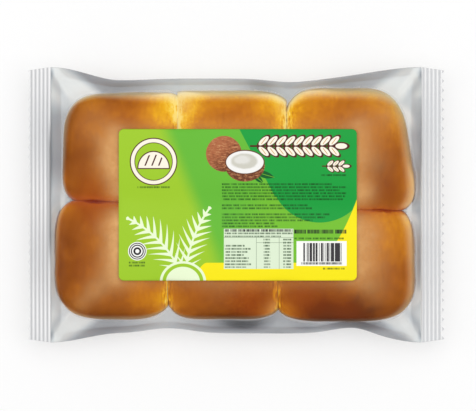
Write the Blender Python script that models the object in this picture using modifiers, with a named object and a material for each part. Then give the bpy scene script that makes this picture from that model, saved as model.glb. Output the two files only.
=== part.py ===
# A sealed clear pack of six joined coconut buns, lying flat with its label up.
# Metres, +Z up. The origin is on the surface that the pack lies on, under its middle.
# The pack runs along X between its two crimped end seals, and +Y is its far side.
# The bag is one closed solid: the film's outer form over the six buns, with its seals.

import bmesh
import bpy
import numpy as np

# The whole pack
PACK_LENGTH = 0.270
PACK_WIDTH = 0.179
WIDEST_HEIGHT = 0.0170  # the bag's widest line and its end seals are this far above the table

# The buns, three in each of two rows
CROWN_HEIGHTS = ((0.0408, 0.0402, 0.0414), (0.0400, 0.0410, 0.0420))  # near row, far row
ROW_CENTRES = (-0.038, 0.037)
COLUMN_CENTRES = (-0.080, -0.006, 0.072)
CROWN_REACH = 0.030  # how far one bun's height carries over to its neighbours
LEAST_WEIGHT = 1e-6  # keeps the mean of the heights defined far from every bun
COLUMN_SEAMS = ((-0.0443, -0.0378), (0.0272, 0.0327))  # each one's x in the near and far row
ROW_SEAM = (0.0031, -0.0044)  # its y at the left and the right end
ROW_SEAM_REACH = 0.115
SEAM_SHIFT = 0.012  # a column seam moves from its near to its far place over this length

# The film over the buns
END_RISE = 0.040
END_POWER = 3.3
SIDE_RISE = 0.045
SIDE_POWER = 2.2
SIDE_ROUNDING = 0.6  # the sides are this much rounder at the middle than at the seals
ROUND_FROM = 0.050
SEAM_DIP = 0.0042
SHOULDER_DIP = 0.0100  # the dip's extra depth where the film runs down the buns' sides
DIP_WIDTH = 0.0120
CROSSING_SHARE = 0.4  # a column seam's dip loses this share where it crosses the row seam
LABEL_STIFFNESS = 0.45  # the share of a dip that the label keeps the film from following
LABEL_EASE = 0.006  # this share fades out over this length at the label's edge

# The outline's two long sides, seen from above: each is drawn in by its waist between its
# ends, up to these distances left and right of the middle, and has dips at (x, reach, depth)
FAR_SIDE = {
    "waist": 0.0074,
    "ends": (0.076, 0.050),
    "dips": ((-0.074, 0.024, 0.0010), (0.035, 0.018, 0.0023)),
}
NEAR_SIDE = {
    "waist": 0.0058,
    "ends": (0.076, 0.076),
    "dips": ((-0.044, 0.020, 0.0034), (0.0745, 0.018, 0.0036)),
}

# The underside
END_TUCK = 0.012
SIDE_TUCK = 0.018
TUCK_POWER = 2.0
CHANNEL_HALF_WIDTH = 0.0085  # the film lifts between the two rows, over the back seal
CHANNEL_DEPTH = 0.0010
BACK_SEAL_HALF_WIDTH = 0.0055
BACK_SEAL_THICKNESS = 0.0006
STEP_RUN = 0.0004  # the channel's and the back seal's edges are this far from upright

# The end seals
SEAL_WIDTH = 0.0144
SEAL_THICKNESS = 0.0008
SEAL_TAPER = 0.0020  # each end of a seal slopes in by this much towards its cut edge
SEAL_DROOP = 0.0016
SEAL_WAVE = 0.0007
SEAL_WAVE_LENGTH = 0.094
RIDGE_PITCH = 0.0026
RIDGE_HEIGHT = 0.00035
TOOTH_PITCH = 0.0062
TOOTH_DEPTHS = (0.0012, 0.0024)  # of the left and the right cut edge
UNCUT_MARGIN = 0.001  # the seals are drawn this much too long, and then cut

# The label
LABEL_LENGTH = 0.154
LABEL_WIDTH = 0.098
LABEL_CENTRE = (0.0010, 0.0000)
LABEL_CORNER = 0.0032
LABEL_THICKNESS = 0.0004
LABEL_GAP = 0.0003
LABEL_OVERSIZE = 0.009  # its sheet is drawn this much too long, and then cut
LABEL_SKIPS = 10  # its sheet leaves out this many of the bag's points at each side
CUTTER_MARGIN = 0.010  # its cutter reaches this far above the highest crown

# How finely the surfaces are drawn
BODY_STEPS = 38
BODY_CROWDING = 0.55
TOP_STEPS = 39
TOP_CROWDING = 0.75
TUCK_STEPS = 5
TUCK_CROWDING = 1.5
FLAT_STEPS = 6
CORNER_STEPS = 6
SHARP_ANGLE = 35  # degrees

SEAL_LINE = PACK_LENGTH / 2 - SEAL_WIDTH  # the inner edge of an end seal
FILM_COLOUR = (0.80, 0.72, 0.58, 1.0)
LABEL_COLOUR = (0.36, 0.62, 0.10, 1.0)


def clear_scene():
    for obj in list(bpy.data.objects):
        bpy.data.objects.remove(obj, do_unlink=True)


def material(name, colour, roughness):
    made = bpy.data.materials.new(name)
    made.use_nodes = True
    shader = made.node_tree.nodes["Principled BSDF"]
    shader.inputs["Base Color"].default_value = colour
    shader.inputs["Roughness"].default_value = roughness
    shader.inputs["Metallic"].default_value = 0.0
    return made


def smooth_step(t):
    t = np.clip(t, 0.0, 1.0)
    return t * t * (3.0 - 2.0 * t)


def bell(distance, reach):
    return np.exp(-((distance / reach) ** 2))


def rise(distance, length, power):
    """0 at an edge, and 1 from `length` inside it on, steepest at the edge."""
    return 1.0 - (1.0 - np.clip(distance / length, 0.0, 1.0)) ** power


def half_width(x, side):
    """The outline's distance from the pack's middle line, on its far or near side."""
    start = np.where(x < 0, side["ends"][0], side["ends"][1])
    inner = 1.0 - smooth_step((np.abs(x) - start) / (SEAL_LINE - start))
    dips = sum(depth * bell(x - at, reach) for at, reach, depth in side["dips"])
    taper = SEAL_TAPER * np.clip((np.abs(x) - SEAL_LINE) / SEAL_WIDTH, 0.0, 1.0)
    return PACK_WIDTH / 2 - inner * (side["waist"] + dips) - taper


def side_rise(x, y, length, power):
    """`rise` from the nearer side: a folded edge at the seals, rounding to a tube's side."""
    edge = np.where(y > 0, half_width(x, FAR_SIDE), half_width(x, NEAR_SIDE))
    to_seal = smooth_step((np.abs(x) - ROUND_FROM) / (SEAL_LINE - ROUND_FROM))
    return rise(edge - np.abs(y), length, power) ** (1.0 / (1.0 + SIDE_ROUNDING * (1.0 - to_seal)))


def seal_height(x, y):
    """The middle of the two films: level over the pack, ridged and drooping at its ends."""
    out = np.clip(np.abs(x) - SEAL_LINE, 0.0, SEAL_WIDTH)
    share = out / SEAL_WIDTH
    wave = SEAL_WAVE * share * np.sin(2 * np.pi * y / SEAL_WAVE_LENGTH + np.sign(x))
    ridges = RIDGE_HEIGHT * np.sin(2 * np.pi * out / RIDGE_PITCH)
    return WIDEST_HEIGHT - SEAL_DROOP * share**2 + wave + ridges


def crown_height(x, y):
    """The height of the nearest bun, eased into its neighbours'."""
    total, weights = 0.0, 0.0
    for row_y, heights in zip(ROW_CENTRES, CROWN_HEIGHTS):
        for column_x, height in zip(COLUMN_CENTRES, heights):
            weight = bell(np.hypot(x - column_x, y - row_y), CROWN_REACH) + LEAST_WEIGHT
            total = total + weight * height
            weights = weights + weight
    return total / weights


def seam_dip(x, y):
    """How much of a dip the film makes at a point: 1 over a seam between two buns."""
    row_y = np.interp(x, (-ROW_SEAM_REACH, ROW_SEAM_REACH), ROW_SEAM)
    dip = bell(y - row_y, DIP_WIDTH)
    for near_x, far_x in COLUMN_SEAMS:
        seam_x = near_x + (far_x - near_x) * smooth_step(0.5 + y / (2 * SEAM_SHIFT))
        dip = dip + (1.0 - CROSSING_SHARE * dip) * bell(x - seam_x, DIP_WIDTH)
    return dip


def under_label(x, y):
    """1 under the label and 0 a few millimetres outside it."""
    along = smooth_step((LABEL_LENGTH / 2 - np.abs(x - LABEL_CENTRE[0])) / LABEL_EASE + 0.5)
    across = smooth_step((LABEL_WIDTH / 2 - np.abs(y - LABEL_CENTRE[1])) / LABEL_EASE + 0.5)
    return along * across


def top_height(x, y):
    """The upper film: it rises from all four sides, and dips between the six crowns."""
    end = rise(SEAL_LINE - np.abs(x), END_RISE, END_POWER)
    side = side_rise(x, y, SIDE_RISE, SIDE_POWER)
    pillow = end * side
    depth = SEAM_DIP * pillow + SHOULDER_DIP * pillow * (1.0 - pillow)
    depth = depth * (1.0 - LABEL_STIFFNESS * under_label(x, y))
    base = seal_height(x, y) + SEAL_THICKNESS / 2
    return base + (crown_height(x, y) - base) * pillow - depth * seam_dip(x, y)


def bottom_height(x, y):
    """The lower film: flat on the table, with a shallow channel that holds the back seal."""
    end = rise(SEAL_LINE - np.abs(x), END_TUCK, TUCK_POWER)
    side = side_rise(x, y, SIDE_TUCK, TUCK_POWER)
    hang = (seal_height(x, y) - SEAL_THICKNESS / 2) * (1.0 - end * side)
    lift = CHANNEL_DEPTH * (np.abs(y) < CHANNEL_HALF_WIDTH) * end
    seal = BACK_SEAL_THICKNESS * (np.abs(y) < BACK_SEAL_HALF_WIDTH) * end
    return hang + lift - seal


def spread_stations(low, high, count, crowding):
    """Stations from low to high: evenly spaced at crowding 0, and denser at both ends above it."""
    t = np.linspace(0.0, 1.0, count)
    eased = 0.5 - 0.5 * np.cos(np.pi * t)
    return low + (high - low) * (t + crowding * (eased - t))


def x_stations():
    """The bag's sections: every ridge and hollow of the seals, and even steps between them."""
    body = spread_stations(-SEAL_LINE, SEAL_LINE, BODY_STEPS, BODY_CROWDING)
    ridges = np.arange(RIDGE_PITCH / 4, SEAL_WIDTH - RIDGE_PITCH / 4, RIDGE_PITCH / 2)
    seal = SEAL_LINE + np.append(ridges, SEAL_WIDTH + UNCUT_MARGIN)
    return np.concatenate([-seal[::-1], body, seal])


def underside_stations(near, far):
    """From the far side to the near one: the tucks, and both edges of the channel and seal."""
    half_step = STEP_RUN / 2
    edges = [
        edge + offset
        for edge in (CHANNEL_HALF_WIDTH, BACK_SEAL_HALF_WIDTH)
        for offset in (half_step, -half_step)
    ]
    middle = np.array(edges + [0.0] + [-edge for edge in edges[::-1]])
    sides = []
    for side in (far, near):
        inward = -np.sign(side)
        tuck = side + inward * SIDE_TUCK * np.linspace(0.0, 1.0, TUCK_STEPS + 1)[1:] ** TUCK_CROWDING
        flat = np.linspace(tuck[-1], -inward * edges[0], FLAT_STEPS + 1)[1:-1]
        sides.append(np.append(tuck, flat))
    return np.concatenate([sides[0], middle, sides[1][::-1]])


def section(x):
    """One closed ring across the bag at x: over the top from the near side, back underneath."""
    near, far = -half_width(x, NEAR_SIDE), half_width(x, FAR_SIDE)
    over = spread_stations(near, far, TOP_STEPS, TOP_CROWDING)
    under = underside_stations(near, far)
    y = np.concatenate([over, under])
    z = np.concatenate([top_height(x, over), bottom_height(x, under)])
    z[0] = seal_height(x, near)
    z[len(over) - 1] = seal_height(x, far)
    return np.column_stack([np.full(len(y), x), y, z])


def woven(mesh, rings, closed):
    """Triangles between each ring of points and the next, facing up where the points run to +Y."""
    rows = [[mesh.verts.new(point) for point in ring] for ring in rings]
    for row, after in zip(rows, rows[1:]):
        for i in range(len(row) if closed else len(row) - 1):
            j = (i + 1) % len(row)
            mesh.faces.new((row[i], after[i], after[j]))
            mesh.faces.new((row[i], after[j], row[j]))
    return rows


def finished(name, mesh):
    data = bpy.data.meshes.new(name)
    mesh.to_mesh(data)
    mesh.free()
    return bpy.data.objects.new(name, data)


def lofted(name, rings):
    """A closed solid from rings of equally many points, with a flat cap on both ends."""
    mesh = bmesh.new()
    rows = woven(mesh, rings, closed=True)
    mesh.faces.new(rows[0])
    mesh.faces.new(rows[-1][::-1])
    return finished(name, mesh)


def sheet(name, rows):
    """An open surface from rows of equally many points."""
    mesh = bmesh.new()
    woven(mesh, rows, closed=False)
    return finished(name, mesh)


def prism(name, outline, low, high):
    """An upright block with this outline, for a cutter."""
    mesh = bmesh.new()
    face = mesh.faces.new([mesh.verts.new((x, y, low)) for x, y in outline])
    raised = bmesh.ops.extrude_face_region(mesh, geom=[face])["geom"]
    bmesh.ops.translate(
        mesh,
        verts=[v for v in raised if isinstance(v, bmesh.types.BMVert)],
        vec=(0.0, 0.0, high - low),
    )
    bmesh.ops.recalc_face_normals(mesh, faces=mesh.faces[:])
    made = finished(name, mesh)
    made.hide_render = True
    made.display_type = "WIRE"
    return made


def shape_with(obj, operation, other):
    modifier = obj.modifiers.new(other.name, "BOOLEAN")
    modifier.operation = operation
    modifier.object = other
    modifier.solver = "EXACT"


def edge_cutter(name, side, depth):
    """What lies outside the zigzag edge of one end seal."""
    tip = PACK_LENGTH / 2
    outside = side * (tip + 2 * UNCUT_MARGIN)
    teeth = int(np.ceil(PACK_WIDTH / TOOTH_PITCH / 2)) + 1
    ys = (np.arange(-2 * teeth, 2 * teeth + 1)) * TOOTH_PITCH / 2
    zigzag = [(side * (tip - depth * (k % 2)), y) for k, y in enumerate(ys)]
    outline = zigzag + [(outside, ys[-1]), (outside, ys[0])]
    return prism(name, outline, 0.0, 2 * WIDEST_HEIGHT)


def rounded_rectangle(length, width, radius, centre):
    """A rectangle's outline with round corners, counter-clockwise from above."""
    points = []
    for turn, (side_x, side_y) in enumerate(((1, 1), (-1, 1), (-1, -1), (1, -1))):
        corner_x = centre[0] + side_x * (length / 2 - radius)
        corner_y = centre[1] + side_y * (width / 2 - radius)
        for angle in np.linspace(0.0, np.pi / 2, CORNER_STEPS + 1) + turn * np.pi / 2:
            points.append((corner_x + radius * np.cos(angle), corner_y + radius * np.sin(angle)))
    return points


def make_bag(pack, cutters):
    bag = lofted("bag", [section(x) for x in x_stations()])
    for name, side, depth in zip(("left_teeth", "right_teeth"), (-1, 1), TOOTH_DEPTHS):
        cutter = edge_cutter(name, side, depth)
        cutters.objects.link(cutter)
        shape_with(bag, "DIFFERENCE", cutter)
    bag.data.materials.append(material("clear_film", FILM_COLOUR, 0.15))
    pack.objects.link(bag)


def label_row(x):
    """The label's back across the pack at x, a gap above the bag's own points there."""
    near, far = -half_width(x, NEAR_SIDE), half_width(x, FAR_SIDE)
    y = spread_stations(near, far, TOP_STEPS, TOP_CROWDING)[LABEL_SKIPS:-LABEL_SKIPS]
    return np.column_stack([np.full(len(y), x), y, top_height(x, y) + LABEL_GAP])


def make_label(pack, cutters):
    xs = x_stations()
    xs = xs[np.abs(xs - LABEL_CENTRE[0]) < LABEL_LENGTH / 2 + LABEL_OVERSIZE]
    label = sheet("label", [label_row(x) for x in xs])
    thickness = label.modifiers.new("thickness", "SOLIDIFY")
    thickness.thickness = LABEL_THICKNESS
    thickness.offset = 1.0
    outline = rounded_rectangle(LABEL_LENGTH, LABEL_WIDTH, LABEL_CORNER, LABEL_CENTRE)
    cutter_top = max(map(max, CROWN_HEIGHTS)) + CUTTER_MARGIN
    cutter = prism("label_outline", outline, WIDEST_HEIGHT, cutter_top)
    cutters.objects.link(cutter)
    shape_with(label, "INTERSECT", cutter)
    label.data.materials.append(material("label_paper", LABEL_COLOUR, 0.45))
    pack.objects.link(label)


def main():
    clear_scene()
    pack = bpy.data.collections.new("coconut_bun_pack")
    cutters = bpy.data.collections.new("cutters")
    bpy.context.scene.collection.children.link(pack)
    bpy.context.scene.collection.children.link(cutters)
    make_bag(pack, cutters)
    make_label(pack, cutters)
    for obj in pack.objects:
        obj.data.shade_smooth()
        obj.data.set_sharp_from_angle(angle=np.radians(SHARP_ANGLE))


main()
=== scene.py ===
import bpy
import numpy as np
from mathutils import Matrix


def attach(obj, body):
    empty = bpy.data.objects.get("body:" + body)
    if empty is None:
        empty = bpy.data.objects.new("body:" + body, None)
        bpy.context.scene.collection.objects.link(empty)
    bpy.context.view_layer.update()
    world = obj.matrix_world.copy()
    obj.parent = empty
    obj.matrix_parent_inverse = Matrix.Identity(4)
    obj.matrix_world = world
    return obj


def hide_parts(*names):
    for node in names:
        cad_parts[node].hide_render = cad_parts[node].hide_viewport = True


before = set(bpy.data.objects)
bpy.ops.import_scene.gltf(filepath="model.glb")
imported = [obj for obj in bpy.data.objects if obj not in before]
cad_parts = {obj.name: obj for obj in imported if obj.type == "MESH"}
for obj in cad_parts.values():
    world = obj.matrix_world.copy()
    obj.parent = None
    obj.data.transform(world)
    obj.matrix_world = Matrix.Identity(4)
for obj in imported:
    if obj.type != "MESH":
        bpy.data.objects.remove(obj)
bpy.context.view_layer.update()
print("frame loaded:", ", ".join(sorted(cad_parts)))

mm = 0.001
imageSize = (476, 411)

# The whole pack, in millimetres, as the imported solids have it
pack = {
    "length": 270.0,
    "width": 179.0,
    "widestHeight": 17.0,
    "sealWidth": 14.4,
    "sealThickness": 0.8,
    "sealDroop": 1.6,
    "sealWave": 0.7,
    "sealWaveLength": 94.0,
    "sealTaper": 2.0,
    "ridgePitch": 2.6,
    "ridgeHeight": 0.35,
}
sealLine = pack["length"] / 2 - pack["sealWidth"]  # the inner edge of an end seal

# The outline's two long sides, seen from above: each is drawn in by its waist between its
# ends and has dips at (x, reach, depth)
farSide = {
    "waist": 7.4,
    "ends": (76.0, 50.0),
    "dips": ((-74.0, 24.0, 1.0), (35.0, 18.0, 2.3)),
}
nearSide = {
    "waist": 5.8,
    "ends": (76.0, 76.0),
    "dips": ((-44.0, 20.0, 3.4), (74.5, 18.0, 3.6)),
}

# How the film lies over and under the buns
drape = {
    "crowns": ((40.8, 40.2, 41.4), (40.0, 41.0, 42.0)),  # near row, far row
    "rows": (-38.0, 37.0),
    "columns": (-80.0, -6.0, 72.0),
    "crownReach": 30.0,
    "crownTrace": 1e-6,  # of every crown everywhere, so that their weights never add up to 0
    "columnSeams": ((-44.3, -37.8), (27.2, 32.7)),  # x in the near and the far row
    "seamShift": 12.0,
    "rowSeam": (3.1, -4.4),  # y at the left and the right end
    "rowSeamReach": 115.0,
    "endRise": (40.0, 3.3),
    "sideRise": (45.0, 2.2),
    "sideRounding": 0.6,
    "roundFrom": 50.0,
    "seamDip": 4.2,
    "shoulderDip": 10.0,
    "dipWidth": 12.0,
    "crossing": 0.4,  # the share of a column seam's dip that is lost where it meets the row seam
    "labelStiffness": 0.45,
    "labelEase": 6.0,
    "endTuck": 12.0,
    "sideTuck": 18.0,
    "tuckPower": 2.0,
    "channelHalfWidth": 8.5,
    "channelEase": 2.0,
    "channelDepth": 1.0,
}

label = {
    "length": 154.0,
    "width": 98.0,
    "centre": (1.0, 0.0),
    "corner": 3.2,
    "gap": 0.14,
    "thickness": 0.16,
    "steps": (150, 110),
    "cornerSteps": 9,
    "roughness": (0.36, 0.1, 6.0),  # least, how much more, and over what size
    "specular": 0.16,
}


# Plain shapes of one number

def smoothStep(t):
    # 0 below 0, 1 above 1, and 3t^2 - 2t^3 between
    t = np.clip(t, 0.0, 1.0)
    return t * t * (3.0 - 2.0 * t)


def bell(distance, reach):
    # e to the power of minus (distance / reach) squared
    return np.exp(-((distance / reach) ** 2))


def spots(along, places):
    # the sum of a bell at each (place, reach, amount) along a line
    return sum(amount * bell(along - at, reach) for at, reach, amount in places)


def roundSpots(x, y, places):
    # the sum of a round bell at each (x, y, reach, amount)
    return sum(amount * bell(np.hypot(x - atX, y - atY), reach) for atX, atY, reach, amount in places)


def rise(distance, length, power):
    # 0 at an edge, 1 from length inside it on: 1 - (1 - distance / length) ^ power
    return 1.0 - (1.0 - np.clip(distance / length, 0.0, 1.0)) ** power


def crowded(count, crowding):
    # from 0 to 1, evenly at crowding 0 and denser at both ends above it: t mixed with its cosine ease
    t = np.linspace(0.0, 1.0, count)
    return t + crowding * (0.5 - 0.5 * np.cos(np.pi * t) - t)


def softMin(a, b, ease):
    # the lower of two heights, with the corner between them eased: (a + b - sqrt((a - b)^2 + ease^2)) / 2
    return 0.5 * (a + b - np.sqrt((a - b) ** 2 + ease**2))


def lumps(x, y, z, size, seed):
    # random heights from -1 to 1 on a cubic lattice of this size, eased between a cell's eight
    # corners; the lattice is shifted, so that no cell starts at the pack's middle
    count, shift = 32, 160.37
    table = np.random.default_rng(seed).uniform(-1.0, 1.0, (count, count, count))
    places = [axis / size + shift for axis in np.broadcast_arrays(x, y, z)]
    cells = [np.floor(p).astype(int) for p in places]
    shares = [smoothStep(p - c) for p, c in zip(places, cells)]
    total = 0.0
    for corner in np.ndindex(2, 2, 2):
        index = tuple((c + k) % count for c, k in zip(cells, corner))
        weight = 1.0
        for share, k in zip(shares, corner):
            weight = weight * (share if k else 1.0 - share)
        total = total + weight * table[index]
    return total


# The pack's form, in millimetres

def halfWidth(x, side):
    # half the pack's width, less the waist and the dips between the ends, less the seals' taper
    start = np.where(x < 0, side["ends"][0], side["ends"][1])
    inner = 1.0 - smoothStep((np.abs(x) - start) / (sealLine - start))
    taper = pack["sealTaper"] * np.clip((np.abs(x) - sealLine) / pack["sealWidth"], 0.0, 1.0)
    return pack["width"] / 2 - inner * (side["waist"] + spots(x, side["dips"])) - taper


def edgeDistance(x, y):
    # how far inside the nearer long side a point is
    return np.where(y > 0, halfWidth(x, farSide), halfWidth(x, nearSide)) - np.abs(y)


def sideRise(x, y, length, power):
    # rise from the nearer side: a folded edge at the seals, rounding to a tube's side between them
    toSeal = smoothStep((np.abs(x) - drape["roundFrom"]) / (sealLine - drape["roundFrom"]))
    rounding = 1.0 + drape["sideRounding"] * (1.0 - toSeal)
    return rise(edgeDistance(x, y), length, power) ** (1.0 / rounding)


def sealHeight(x, y):
    # the middle of the two films: level over the pack, then a droop, a slow wave and the crimp's sine
    out = np.clip(np.abs(x) - sealLine, 0.0, pack["sealWidth"])
    share = out / pack["sealWidth"]
    wave = pack["sealWave"] * share * np.sin(2 * np.pi * y / pack["sealWaveLength"] + np.sign(x))
    ridges = pack["ridgeHeight"] * np.sin(2 * np.pi * out / pack["ridgePitch"])
    return pack["widestHeight"] - pack["sealDroop"] * share**2 + wave + ridges


def crownHeight(x, y):
    # the six crowns' mean, each weighted by a bell round its own place
    total, weights = 0.0, 0.0
    for rowY, heights in zip(drape["rows"], drape["crowns"]):
        for columnX, height in zip(drape["columns"], heights):
            weight = bell(np.hypot(x - columnX, y - rowY), drape["crownReach"]) + drape["crownTrace"]
            total = total + weight * height
            weights = weights + weight
    return total / weights


def rowSeamAt(x):
    # the seam between the rows, a straight slanting line
    reach = drape["rowSeamReach"]
    return np.interp(x, (-reach, reach), drape["rowSeam"])


def seamDip(x, y):
    # about 1 over a seam: a bell across the row seam, and one across each column seam, which
    # shifts smoothly from its x in the near row to its x in the far row
    dip = bell(y - rowSeamAt(x), drape["dipWidth"])
    for nearX, farX in drape["columnSeams"]:
        seamX = nearX + (farX - nearX) * smoothStep(0.5 + y / (2 * drape["seamShift"]))
        dip = dip + (1.0 - drape["crossing"] * dip) * bell(x - seamX, drape["dipWidth"])
    return dip


def insideLabel(x, y):
    # how far inside the label's ends and inside its sides a point is
    centreX, centreY = label["centre"]
    return label["length"] / 2 - np.abs(x - centreX), label["width"] / 2 - np.abs(y - centreY)


def underLabel(x, y):
    # 1 under the label, eased to 0 a few millimetres outside it
    inX, inY = insideLabel(x, y)
    return smoothStep(inX / drape["labelEase"] + 0.5) * smoothStep(inY / drape["labelEase"] + 0.5)


def topHeight(x, y):
    # the rise from the ends times the rise from the sides, up to the crowns, less the seams' dips
    pillow = rise(sealLine - np.abs(x), *drape["endRise"]) * sideRise(x, y, *drape["sideRise"])
    depth = drape["seamDip"] * pillow + drape["shoulderDip"] * pillow * (1.0 - pillow)
    depth = depth * (1.0 - drape["labelStiffness"] * underLabel(x, y))
    base = sealHeight(x, y) + pack["sealThickness"] / 2
    return base + (crownHeight(x, y) - base) * pillow - depth * seamDip(x, y)


def bottomHeight(x, y):
    # flat on the table inside its tucks, with a shallow channel between the rows
    end = rise(sealLine - np.abs(x), drape["endTuck"], drape["tuckPower"])
    side = sideRise(x, y, drape["sideTuck"], drape["tuckPower"])
    channel = smoothStep((drape["channelHalfWidth"] - np.abs(y)) / drape["channelEase"] + 0.5)
    edge = sealHeight(x, y) - pack["sealThickness"] / 2
    return edge * (1.0 - end * side) + drape["channelDepth"] * channel * end


# Meshes

def listed(*axes):
    # grids of numbers as one list of rows
    return np.stack(np.broadcast_arrays(*axes), -1).reshape(-1, len(axes))


def gridFaces(rows, columns, closed=False):
    # quads between neighbouring points of a grid stored row by row, turning from rows to columns
    i, j = np.meshgrid(np.arange(rows - 1), np.arange(columns if closed else columns - 1), indexing="ij")
    row, nextRow, k = i * columns, (i + 1) * columns, (j + 1) % columns
    return listed(row + j, nextRow + j, nextRow + k, row + k)


def makePiece(name, points, faces, finish, values=None):
    # a mesh in metres from points in millimetres, with one float attribute for each named value
    mesh = bpy.data.meshes.new(name)
    mesh.from_pydata((points * mm).tolist(), [], faces)
    for title, numbers in (values or {}).items():
        attribute = mesh.attributes.new(title, "FLOAT", "POINT")
        attribute.data.foreach_set("value", np.asarray(numbers, np.float32).ravel())
    mesh.shade_smooth()
    mesh.materials.append(finish)
    piece = bpy.data.objects.new(name, mesh)
    bpy.context.scene.collection.objects.link(piece)
    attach(piece, "root")
    return piece


def thicken(piece, thickness, offset):
    # gives a sheet a wall in millimetres, on both sides of it at offset 0 and outside it at 1
    wall = piece.modifiers.new("wall", "SOLIDIFY")
    wall.thickness = thickness * mm
    wall.offset = offset


# Shader wiring

class Wire:
    # a number socket: + - * / and the methods below add Math nodes
    def __init__(self, finish, socket):
        self.finish = finish
        self.socket = socket

    def math(self, operation, *others):
        numbers = dict(enumerate((self,) + others))
        return self.finish.node("ShaderNodeMath", {"operation": operation}, numbers)

    def __add__(self, other):
        return self.math("ADD", other)

    __radd__ = __add__

    def __sub__(self, other):
        return self.math("SUBTRACT", other)

    def __rsub__(self, other):
        return (self * -1.0) + other

    def __mul__(self, other):
        return self.math("MULTIPLY", other)

    __rmul__ = __mul__

    def __truediv__(self, other):
        return self.math("DIVIDE", other)

    def __abs__(self):
        return self.math("ABSOLUTE")

    def least(self, other):
        return self.math("MINIMUM", other)

    def most(self, other):
        return self.math("MAXIMUM", other)

    def floor(self):
        return self.math("FLOOR")

    def sine(self):
        return self.math("SINE")

    def root(self):
        return self.math("SQRT")

    def clamped(self):
        return self.most(0.0).least(1.0)

    def eased(self, low, high):
        # smooth step from 0 at low to 1 at high
        t = ((self - low) / (high - low)).clamped()
        return t * t * (3.0 - 2.0 * t)


class Finish:
    # a material while it is wired
    def __init__(self, name):
        self.material = bpy.data.materials.new(name)
        self.material.use_nodes = True
        self.tree = self.material.node_tree
        self.tree.nodes.clear()

    def node(self, kind, settings=None, values=None, output=0):
        # any node: its settings first, then the values or wires of its sockets
        made = self.tree.nodes.new(kind)
        for name, setting in (settings or {}).items():
            if name == "stops":
                self.setStops(made.color_ramp.elements, setting)
            else:
                setattr(made, name, setting)
        for key, value in (values or {}).items():
            if isinstance(value, Wire):
                self.tree.links.new(value.socket, made.inputs[key])
            else:
                made.inputs[key].default_value = value
        return Wire(self, made.outputs[output])

    def setStops(self, elements, stops):
        while len(elements) < len(stops):
            elements.new(1.0)
        for element, (place, shade) in zip(elements, stops):
            element.position = place
            element.color = shade

    def mixed(self, factor, first, second):
        # colours, from first at 0 to second at 1
        return self.node("ShaderNodeMix", {"data_type": "RGBA"}, {0: factor, 6: first, 7: second}, 2)

    def ramp(self, factor, stops):
        return self.node("ShaderNodeValToRGB", {"stops": stops}, {0: factor})

    def stored(self, name):
        # a float attribute of the piece's mesh
        return self.node("ShaderNodeAttribute", {"attribute_name": name}, output=2)

    def place(self):
        # object coordinates, in metres
        return self.node("ShaderNodeTexCoord", output=3)

    def flat(self, vector):
        # x and y in millimetres
        split = self.node("ShaderNodeSeparateXYZ", None, {0: vector})
        return [Wire(self, socket) / mm for socket in split.socket.node.outputs[:2]]

    def noise(self, vector, size, detail=3.0, roughness=0.5):
        # 0 to 1, with features of about this size in millimetres
        values = {"Vector": vector, "Scale": 1.0 / (size * mm), "Detail": detail, "Roughness": roughness}
        return self.node("ShaderNodeTexNoise", None, values)

    def coat(self, shade, roughness, specular, more=None):
        # an opaque surface
        values = {"Base Color": shade, "Roughness": roughness, "Specular IOR Level": specular}
        return self.node("ShaderNodeBsdfPrincipled", None, {**values, **(more or {})})

    def layered(self, share, under, over):
        # two shaders, from the one under at 0 to the one over it at 1
        return self.node("ShaderNodeMixShader", None, {0: share, 1: under, 2: over})

    def bump(self, strength, distance, height):
        # a normal from a height of 0 to 1, with its distance in millimetres
        values = {"Strength": strength, "Distance": distance * mm, "Height": height}
        return self.node("ShaderNodeBump", None, values)

    def finished(self, shader):
        output = self.tree.nodes.new("ShaderNodeOutputMaterial")
        self.tree.links.new(shader.socket, output.inputs["Surface"])
        return self.material


def colour(red, green, blue):
    # a screen colour of 0 to 255 as the linear value that shaders use, by the sRGB curve
    s = np.array([red, green, blue]) / 255.0
    linear = np.where(s <= 0.04045, s / 12.92, ((s + 0.055) / 1.055) ** 2.4)
    return (*linear.tolist(), 1.0)


# The buns

crust = {
    "steps": (176, 84),  # round, and from crown to base
    "halfWidth": 38.0,  # a usual bun's, which tells one column seam from the other
    "widestAt": 15.0,
    "baseAt": 0.6,
    "filmGap": 0.5,
    "press": 1.6,  # how softly the film presses a crown flat
    "basePress": 0.4,
    "seamLap": 0.3,  # how far joined buns run into each other, so no gap shows between them
    "seamEase": 0.7,
    "seamWander": (0.55, 8.0),  # how far a seam strays sideways, and over what length
    "seamDraws": {"column": 41, "row": 42},  # of random numbers
    "outerBulge": 2.35,
    "columnBulge": 5.0,
    "rowBulge": 7.0,
    "baseBulge": 3.6,
    "lumps": ((19.0, 0.5, 11), (7.0, 0.14, 12)),  # size, height and random draw
    "lumpSpan": (36.0, 36.0, 24.0),  # the ellipsoid that they are pushed out from
}

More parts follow.
